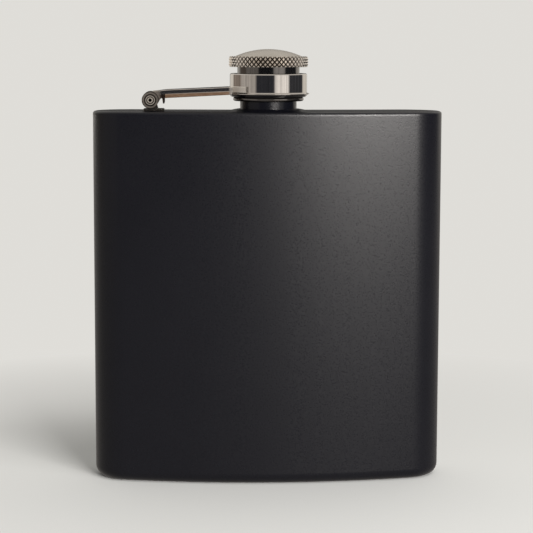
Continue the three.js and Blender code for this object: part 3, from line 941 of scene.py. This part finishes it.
def arm():
    """A folded channel: ears on the rivet, a stop tab under each flange, and wings round the collar."""
    # Distances along the arm from the pivot: where its top face starts, is at full height, and ends.
    web_start = 0.75
    full_height = 5.0
    end = 23.0
    lowered = ARM_TOP - 0.24
    flare_start = 4.0
    collar_side = -9.1  # where the arm meets the collar, from the neck's axis
    flare_end = (collar_side - PIVOT_X) / math.cos(ARM_TILT)
    sink = 0.16  # how much the flanges' lower edge rises towards the collar
    bend = 0.3  # radius of the slight bend half way down a flange
    fold = 0.16
    # How far the flanges' lower halves lean in: clear of the bracket's ears at first, then by the slant.
    least = 0.06
    slant = 0.2

    def half_width(u):
        share = max(0.0, (u - flare_start) / (flare_end - flare_start))
        return ARM_HALF_WIDTH + (ARM_FLARE - ARM_HALF_WIDTH) * share

    def top(u):
        return lowered + (ARM_TOP - lowered) * float(smooth_step((u - web_start) / (full_height - web_start)))

    near = np.linspace(web_start, full_height, 9)
    stations = [*near, *np.linspace(full_height + 1, end, 19)]
    rings = []
    for u in stations:
        w, t = half_width(u), top(u)
        lean = least + (slant - least) * float(smooth_step((u - 2.2) / 1.8))
        b = ARM_BOTTOM + sink * max(0.0, (u - flare_start) / (end - flare_start))
        middle = (b + t) / 2
        section = rounded(
            [
                (-w + lean, b, 0.1),
                (-w, middle, bend),
                (-w, t, fold),
                (w, t, fold),
                (w, middle, bend),
                (w - lean, b, 0.1),
                (w - lean - SHEET, b, 0.1),
                (w - SHEET, middle, bend),
                (w - SHEET, t - SHEET, 0.15),
                (-w + SHEET, t - SHEET, 0.15),
                (-w + SHEET, middle, bend),
                (-w + lean + SHEET, b, 0.1),
            ],
            steps=5,
        )
        place = along_arm([(u, v) for _, v in section])
        rings.append([(x, y, z) for (x, z), (y, _) in zip(place, section)])
    faces = ring_faces(len(rings), len(rings[0]), closed=False)
    channel = in_closure_frame(np.array(rings).reshape(-1, 3)), faces

    ear = rounded(
        [
            *arc_points(EAR_RADIUS, 78, 312, 40),
            (2.75, ARM_BOTTOM, 0.5),
            (3.12, ARM_BOTTOM, 0.1),
            (3.27, -1.05, 0.12),
            (3.66, -1.0, 0.12),
            (3.75, ARM_BOTTOM, 0.1),
            (3.95, ARM_BOTTOM),
            (3.95, 1.5),
            (0.85, 1.5),
            (0.85, 2.1),
        ]
    )
    outside = ARM_HALF_WIDTH + 0.01
    inside = ARM_HALF_WIDTH - SHEET - 0.01
    front_ear = plate(along_arm(ear), -outside, -inside, "y")
    back_ear = plate(along_arm(ear), inside, outside, "y")

    def wing(side):
        """Bent round the collar from its side towards its front or back."""
        inner = COLLAR_RADIUS + FIT
        outer = inner + SHEET
        low = COLLAR_BOTTOM + 1.14
        high = low + 1.6
        section = rounded(
            [(inner, low, 0.08), (outer, low, 0.12), (outer, high, 0.12), (inner, high, 0.08)],
            steps=3,
        )
        starts, ends = 20, 55  # degrees round the collar from the arm's middle
        turns = [math.pi + side * math.radians(a) for a in np.linspace(starts, ends, 15)]
        points = [(r * math.cos(a), r * math.sin(a), z) for a in turns for r, z in section]
        return in_closure_frame(points), ring_faces(len(turns), len(section), closed=False)

    below, above = -5, 15  # the cuts for the collar run from under the arm to over it
    foot_top = COLLAR_BOTTOM + 1.1
    made = combine(
        "arm_strap",
        channel,
        [
            ("UNION", front_ear),
            ("UNION", back_ear),
            ("DIFFERENCE", pin_rod(PIN_HOLE)),
            ("DIFFERENCE", rod(COLLAR_RADIUS + FIT, below, above)),
            ("DIFFERENCE", rod(COLLAR_FLARE + 2 * FIT, below, foot_top)),
            ("UNION", wing(1)),
            ("UNION", wing(-1)),
        ],
    )
    return dress(made, STRAP, "arm", "arm", 32)


EAR_OUTSIDE = ARM_HALF_WIDTH - SHEET - 0.1


def hinge_bracket():
    """A foot with two ears that stand inside the arm's."""
    foot_top = 0.65
    ear_radius = 1.5
    left = -0.62
    meets = 360 - math.degrees(math.acos(left / ear_radius))
    corner = 0.8
    near, far = PIVOT_X - 1.8, PIVOT_X + 3.6
    foot = rounded(
        [
            (near, -EAR_OUTSIDE, corner),
            (far, -EAR_OUTSIDE, corner),
            (far, EAR_OUTSIDE, corner),
            (near, EAR_OUTSIDE, corner),
        ],
        steps=8,
    )
    ear = [(left, 0.3 - PIVOT_Z), (2.1, 0.3 - PIVOT_Z), *arc_points(ear_radius, -20, meets, 30)]
    side = [(PIVOT_X + x, PIVOT_Z + z) for x, z in ear]
    made = combine(
        "hinge_bracket_pressing",
        plate(foot, 0.03, foot_top, "z", 0.12),
        [
            ("UNION", plate(side, -EAR_OUTSIDE, -EAR_OUTSIDE + SHEET, "y")),
            ("UNION", plate(side, EAR_OUTSIDE - SHEET, EAR_OUTSIDE, "y")),
            ("DIFFERENCE", pin_rod(PIN_HOLE)),
        ],
    )
    return dress(made, BRACKET, "flask", "hinge_bracket", 32)


HEAD_SEAT = ARM_HALF_WIDTH + 2 * FIT + WASHER_THICKNESS


def hinge_rivet():
    """A rivet with a short bore at each end, and its ends rolled over into round lips."""
    under = HEAD_SEAT + FIT
    end = under + 0.35
    lip = (PIN_HEAD_RADIUS - PIN_BORE) / 2
    outline = rounded(
        [
            (PIN_BORE, -end, lip * 0.9),
            (PIN_HEAD_RADIUS, -end, lip * 0.9),
            (PIN_HEAD_RADIUS, -under, 0.05),
            (PIN_RADIUS, -under),
            (PIN_RADIUS, under),
            (PIN_HEAD_RADIUS, under, 0.05),
            (PIN_HEAD_RADIUS, end, lip * 0.9),
            (PIN_BORE, end, lip * 0.9),
            (PIN_BORE, PIN_SOLID),
            (0, PIN_SOLID),
            (0, -PIN_SOLID),
            (PIN_BORE, -PIN_SOLID),
        ],
        steps=6,
    )
    return piece("hinge_rivet_tube", [lathe_on_pin(outline)], RIVET, "flask", "hinge_rivet")


def hinge_washer(name, side):
    middle = side * (HEAD_SEAT - WASHER_THICKNESS / 2)
    half = WASHER_THICKNESS / 2
    outline = rounded(
        [
            (PIN_RADIUS + FIT, middle - half, 0.05),
            (WASHER_RADIUS, middle - half, 0.14),
            (WASHER_RADIUS, middle + half, 0.14),
            (PIN_RADIUS + FIT, middle + half, 0.05),
        ]
    )
    return piece(f"{name}_ring", [lathe_on_pin(outline)], RIVET, "flask", name)


# ---- stage, light and camera -----------------------------


def direction(azimuth, elevation):
    """A unit vector: azimuth 0 is -Y, where the camera stands, and it grows towards +X."""
    a, e = math.radians(azimuth), math.radians(elevation)
    return Vector((math.sin(a) * math.cos(e), -math.cos(a) * math.cos(e), math.sin(e)))


def softbox(name, azimuth, elevation, width, height, power):
    """A rectangular lamp that faces the flask. Angles in degrees, sizes in metres, power in watts."""
    target = Vector((0, 0, 0.07))
    distance = 0.9
    data = bpy.data.lights.new(name, "AREA")
    data.shape = "RECTANGLE"
    data.size = width
    data.size_y = height
    data.energy = power
    data.color = (1.0, 0.96, 0.92)
    light = bpy.data.objects.new(name, data)
    light.location = target + direction(azimuth, elevation) * distance
    light.rotation_mode = "QUATERNION"
    light.rotation_quaternion = (target - light.location).to_track_quat("-Z", "Y")
    light.visible_camera = False
    bpy.context.scene.collection.objects.link(light)
    return light


BACKDROP = (0.74, 0.725, 0.69)


def floor():
    """A pale disc: its lit middle fades into a glow in the backdrop's tone, painted light that fades the cast
    shadow out. What mirrors it sees a dim, even glow, a painted shade.
    """
    rings = [0.15, 0.3, 0.5, 0.8, 1.2, 1.6]
    steps = 64
    points = [(0, 0, 0)]
    for radius in rings:
        for k in range(steps):
            a = 2 * math.pi * k / steps
            points.append((radius * math.cos(a), radius * math.sin(a), 0))
    faces = [(0, 1 + k, 1 + (k + 1) % steps) for k in range(steps)]
    for ring in range(len(rings) - 1):
        start = 1 + ring * steps
        for k in range(steps):
            after = (k + 1) % steps
            faces.append((start + k, start + steps + k, start + steps + after, start + after))
    mesh = bpy.data.meshes.new("floor")
    mesh.from_pydata(points, [], faces)
    obj = bpy.data.objects.new("floor", mesh)
    bpy.context.scene.collection.objects.link(obj)

    n = Material("floor")
    n.set(Roughness=0.7, Specular_IOR_Level=0.2)
    speckle = n.noise(2500, detail=2.0)
    colour = n.mix(n.spread(speckle, 0, 1), (0.715, 0.735, 0.735), (0.74, 0.76, 0.76))
    n.join(colour, n.shader.inputs["Base Color"])

    def shine(colour):
        node = n.add("ShaderNodeEmission")
        node.inputs["Color"].default_value = (*colour, 1)
        return node.outputs["Emission"]

    def blend(factor, first, second):
        node = n.add("ShaderNodeMixShader")
        n.join(factor, node.inputs["Fac"])
        n.join(first, node.inputs[1])
        n.join(second, node.inputs[2])
        return node.outputs["Shader"]

    # Past fade_start the floor glows in the backdrop's tone, painted light over its shadow.
    fade_start, fade_end = 0.06, 0.2
    length = n.add("ShaderNodeVectorMath", operation="LENGTH")
    n.join(n.place, length.inputs[0])
    far = n.spread(length.outputs["Value"], 0, 1, fade_start, fade_end)
    seen = blend(far, n.shader.outputs["BSDF"], shine(BACKDROP))
    # Mirrored rays see a dim glow in place of the floor: painted shade.
    is_mirrored = n.add("ShaderNodeLightPath").outputs["Is Glossy Ray"]
    surface = blend(is_mirrored, seen, shine((0.38, 0.355, 0.33)))
    n.join(surface, n.tree.nodes["Material Output"].inputs["Surface"])
    mesh.materials.append(n.material)
    return obj


def studio():
    """What the steel mirrors: dark flags and pale walls round the horizon, and a soft ceiling.

    The camera sees a plain backdrop in their place.
    """
    world = bpy.data.worlds.new("studio")
    bpy.context.scene.world = world
    n = Nodes(world, "Generated")
    axes = n.add("ShaderNodeSeparateXYZ")
    n.join(n.place, axes.inputs["Vector"])
    forward = n.add("ShaderNodeMath", operation="MULTIPLY")
    forward.inputs[1].default_value = -1
    n.join(axes.outputs["Y"], forward.inputs[0])
    turn = n.add("ShaderNodeMath", operation="ARCTAN2")
    n.join(axes.outputs["X"], turn.inputs[0])
    n.join(forward.outputs["Value"], turn.inputs[1])
    azimuth = turn.outputs["Value"]

    # The horizon, by azimuth in degrees: where each tone starts, with a short soft edge.
    tones = [
        (-180, (0.05, 0.05, 0.05)),
        (-167, (0.76, 0.72, 0.65)),
        (-131, (0.28, 0.235, 0.2)),
        (-93, (0.48, 0.445, 0.41)),
        (-40, (0.030, 0.031, 0.037)),
        (17, (1.05, 1.0, 0.95)),
        (61, (0.045, 0.046, 0.051)),
        (121, (0.76, 0.72, 0.65)),
        (167, (0.05, 0.05, 0.05)),
    ]
    soft = 3.5
    stops = [(0.0, tones[0][1])]
    for (start, colour), (_, before) in zip(tones[1:], tones):
        stops += [((start - soft + 180) / 360, before), ((start + soft + 180) / 360, colour)]
    horizon = n.ramp(n.spread(azimuth, 0, 1, -math.pi, math.pi), stops)
    streak = n.add("ShaderNodeTexNoise", noise_dimensions="1D")
    streak.inputs["Scale"].default_value = 9.0
    streak.inputs["Detail"].default_value = 3.0
    n.join(azimuth, streak.inputs["W"])
    streaked = n.add("ShaderNodeVectorMath", operation="SCALE")
    n.join(horizon, streaked.inputs[0])
    n.join(n.spread(streak.outputs["Fac"], 0.68, 1.15), streaked.inputs["Scale"])

    # Above the horizon the tones give way to the ceiling. Its front half is bright only in mirrored rays.
    seen = n.add("ShaderNodeLightPath")
    front = n.mix(seen.outputs["Is Glossy Ray"], (0.2, 0.195, 0.19), (0.62, 0.59, 0.55))
    behind = n.spread(axes.outputs["Y"], 0, 1, -0.4, 0.6, "SMOOTHSTEP")
    ceiling = n.mix(behind, front, (0.72, 0.69, 0.64))
    climb = n.spread(axes.outputs["Z"], 0, 1, 0.15, 0.45, "SMOOTHSTEP")
    sky = n.mix(climb, streaked.outputs["Vector"], ceiling)
    shown = n.mix(seen.outputs["Is Camera Ray"], sky, BACKDROP)
    n.join(shown, n.tree.nodes["Background"].inputs["Color"])


def camera():
    """Stands in front, a little left and above, and looks slightly right and down."""
    yaw, pitch, roll = 0.0411, 0.1236, 0.0026  # radians
    place = Vector((-19.72, -470.39 + NECK_AXIS.y, 114.93)) * MM
    forward = Vector(
        (math.sin(yaw) * math.cos(pitch), math.cos(yaw) * math.cos(pitch), -math.sin(pitch))
    )
    level_right = Vector((math.cos(yaw), -math.sin(yaw), 0))
    level_up = level_right.cross(forward)
    right = math.cos(roll) * level_right + math.sin(roll) * level_up
    up = math.cos(roll) * level_up - math.sin(roll) * level_right
    data = bpy.data.cameras.new("camera")
    data.sensor_width = 36
    data.lens = 121.0
    obj = bpy.data.objects.new("camera", data)
    bpy.context.scene.collection.objects.link(obj)
    turn = Matrix((right, up, -forward)).transposed().to_4x4()
    obj.matrix_world = Matrix.Translation(place) @ turn
    bpy.context.scene.camera = obj


bpy.context.scene.view_settings.view_transform = "Standard"
camera()
studio()
# The lamps in front light the coat and the floor. The steel is kept out of them and mirrors the studio alone.
matt_things = bpy.data.collections.new("matt_things")
can = body_sleeve()
for made in (floor(), can, top_plate(), bottom_plate(), neck()):
    matt_things.objects.link(made)
strip = softbox("strip", azimuth=25.2, elevation=9.8, width=0.43, height=0.09, power=12.6)
overhead = softbox("overhead", azimuth=34, elevation=52, width=0.5, height=0.2, power=2.6)
for lamp in (strip, overhead):
    lamp.light_linking.receiver_collection = matt_things

# A weaker one behind, for the can's wall alone, shows the hollow of its back.
wall = bpy.data.collections.new("wall")
wall.objects.link(can)
rear = softbox("rear", azimuth=208, elevation=14, width=0.4, height=0.3, power=5.0)
rear.light_linking.receiver_collection = wall

hinge_bracket()
hinge_rivet()
hinge_washer("hinge_washer_front", -1)
hinge_washer("hinge_washer_back", 1)
arm()
collar()
cap_sleeve()
cap_head()
cap_dome()
cap_seal()
